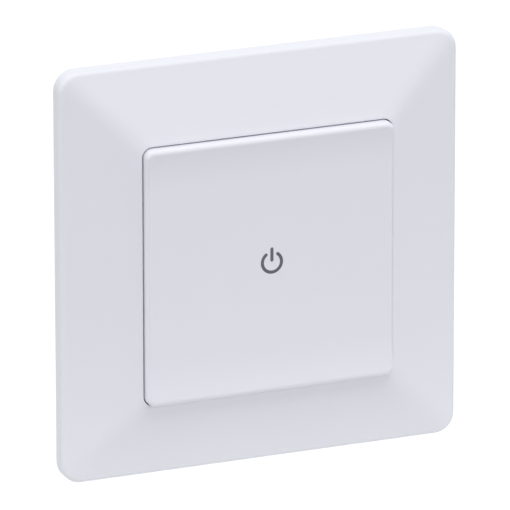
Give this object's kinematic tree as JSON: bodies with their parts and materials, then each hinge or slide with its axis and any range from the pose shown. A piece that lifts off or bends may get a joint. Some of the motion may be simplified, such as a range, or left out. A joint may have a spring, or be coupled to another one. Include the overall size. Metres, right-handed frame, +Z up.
{
  "type": "smart light switch",
  "caption": "Flush wall switch with a sloped square cover frame, a large rocking key, a radio and relay mechanism in a case for a round wall box, and rising cage terminals.",
  "frame": {"origin": "centre of the switch on the wall's face, midway between the wall box screws", "axes": "+Z up, -Y out of the wall towards the room, +X to the right as seen from the room"},
  "size_m": [0.085, 0.0403, 0.085],
  "materials": {
    "white_plastic": "satin",
    "carrier_plastic": "moulded",
    "case_plastic": "moulded",
    "plated_steel": "zinc plated",
    "screw_steel": "zinc plated",
    "spring_steel": "rolled strip",
    "circuit_board": "solder mask",
    "module_board": "solder mask",
    "black_plastic": "moulded",
    "plunger_plastic": "moulded",
    "lamp_resin": "cast",
    "clear_plastic": "polished",
    "tinned_steel": "tin plated",
    "relay_plastic": "moulded",
    "capacitor_plastic": "moulded",
    "capacitor_sleeve": "shrink sleeve",
    "winding_tape": "tape",
    "varistor_coating": "dipped",
    "terminal_brass": "stamped",
    "cage_steel": "plated"
  },
  "bodies": {
    "mechanism": {"cover_frame": "white_plastic", "front_case": "case_plastic", "rear_case": "case_plastic", "support_frame": "plated_steel", "case_screws": "screw_steel", "return_spring": "spring_steel", "control_board": "circuit_board", "power_board": "circuit_board", "tact_switch_body": "black_plastic", "status_led": "lamp_resin", "light_guide": "clear_plastic", "reset_switch": "black_plastic", "radio_module": "module_board", "radio_shield": "tinned_steel", "board_connector": "black_plastic", "relay": "relay_plastic", "mains_capacitor": "capacitor_plastic", "smoothing_capacitor": "capacitor_sleeve", "transformer": "winding_tape", "fuse": "black_plastic", "varistor": "varistor_coating", "neutral_contact_bar": "terminal_brass", "line_contact_bar": "terminal_brass", "load_contact_bar": "terminal_brass"},
    "key": {"key": "white_plastic", "key_carrier": "carrier_plastic"},
    "plunger": {"tact_plunger": "plunger_plastic"},
    "reset_button": {"reset_button": "plunger_plastic"},
    "neutral_screw": {"neutral_terminal_screw": "screw_steel"},
    "neutral_cage": {"neutral_terminal_cage": "cage_steel"},
    "line_screw": {"line_terminal_screw": "screw_steel"},
    "line_cage": {"line_terminal_cage": "cage_steel"},
    "load_screw": {"load_terminal_screw": "screw_steel"},
    "load_cage": {"load_terminal_cage": "cage_steel"}
  },
  "joints": [
    {"name": "key_press", "type": "hinge", "parent": "mechanism", "child": "key", "pos_m": [0, -0.0056, 0.0198], "axis": [1, 0, 0], "range_deg": [0, 1.8], "stiffness_Nm_per_rad": 0.6, "springref_deg": -2.86, "deforming": ["return_spring"]},
    {"name": "plunger_press", "type": "slide", "parent": "mechanism", "child": "plunger", "axis": [0, 1, 0], "range_m": [0, 0.0004]},
    {"name": "reset_press", "type": "slide", "parent": "mechanism", "child": "reset_button", "axis": [0, 1, 0], "range_m": [0, 0.0003], "stiffness_N_per_m": 200, "springref_m": -0.002},
    {"name": "neutral_cage_rise", "type": "slide", "parent": "mechanism", "child": "neutral_cage", "axis": [0, 0, -1], "range_m": [0, 0.0023]},
    {"name": "neutral_screw_turn", "type": "hinge", "parent": "mechanism", "child": "neutral_screw", "pos_m": [-0.01, 0.021, -0.02], "axis": [0, 0, 1], "range_deg": [0, 1657]},
    {"name": "line_cage_rise", "type": "slide", "parent": "mechanism", "child": "line_cage", "axis": [0, 0, -1], "range_m": [0, 0.0023]},
    {"name": "line_screw_turn", "type": "hinge", "parent": "mechanism", "child": "line_screw", "pos_m": [0, 0.021, -0.02], "axis": [0, 0, 1], "range_deg": [0, 1657]},
    {"name": "load_cage_rise", "type": "slide", "parent": "mechanism", "child": "load_cage", "axis": [0, 0, -1], "range_m": [0, 0.0023]},
    {"name": "load_screw_turn", "type": "hinge", "parent": "mechanism", "child": "load_screw", "pos_m": [0.01, 0.021, -0.02], "axis": [0, 0, 1], "range_deg": [0, 1657]}
  ],
  "couplings": [
    {"joint": "plunger_press", "follows": "key_press", "m_per_rad": 0.0108},
    {"joint": "neutral_screw_turn", "follows": "neutral_cage_rise", "rad_per_m": 12566},
    {"joint": "line_screw_turn", "follows": "line_cage_rise", "rad_per_m": 12566},
    {"joint": "load_screw_turn", "follows": "load_cage_rise", "rad_per_m": 12566}
  ]
}
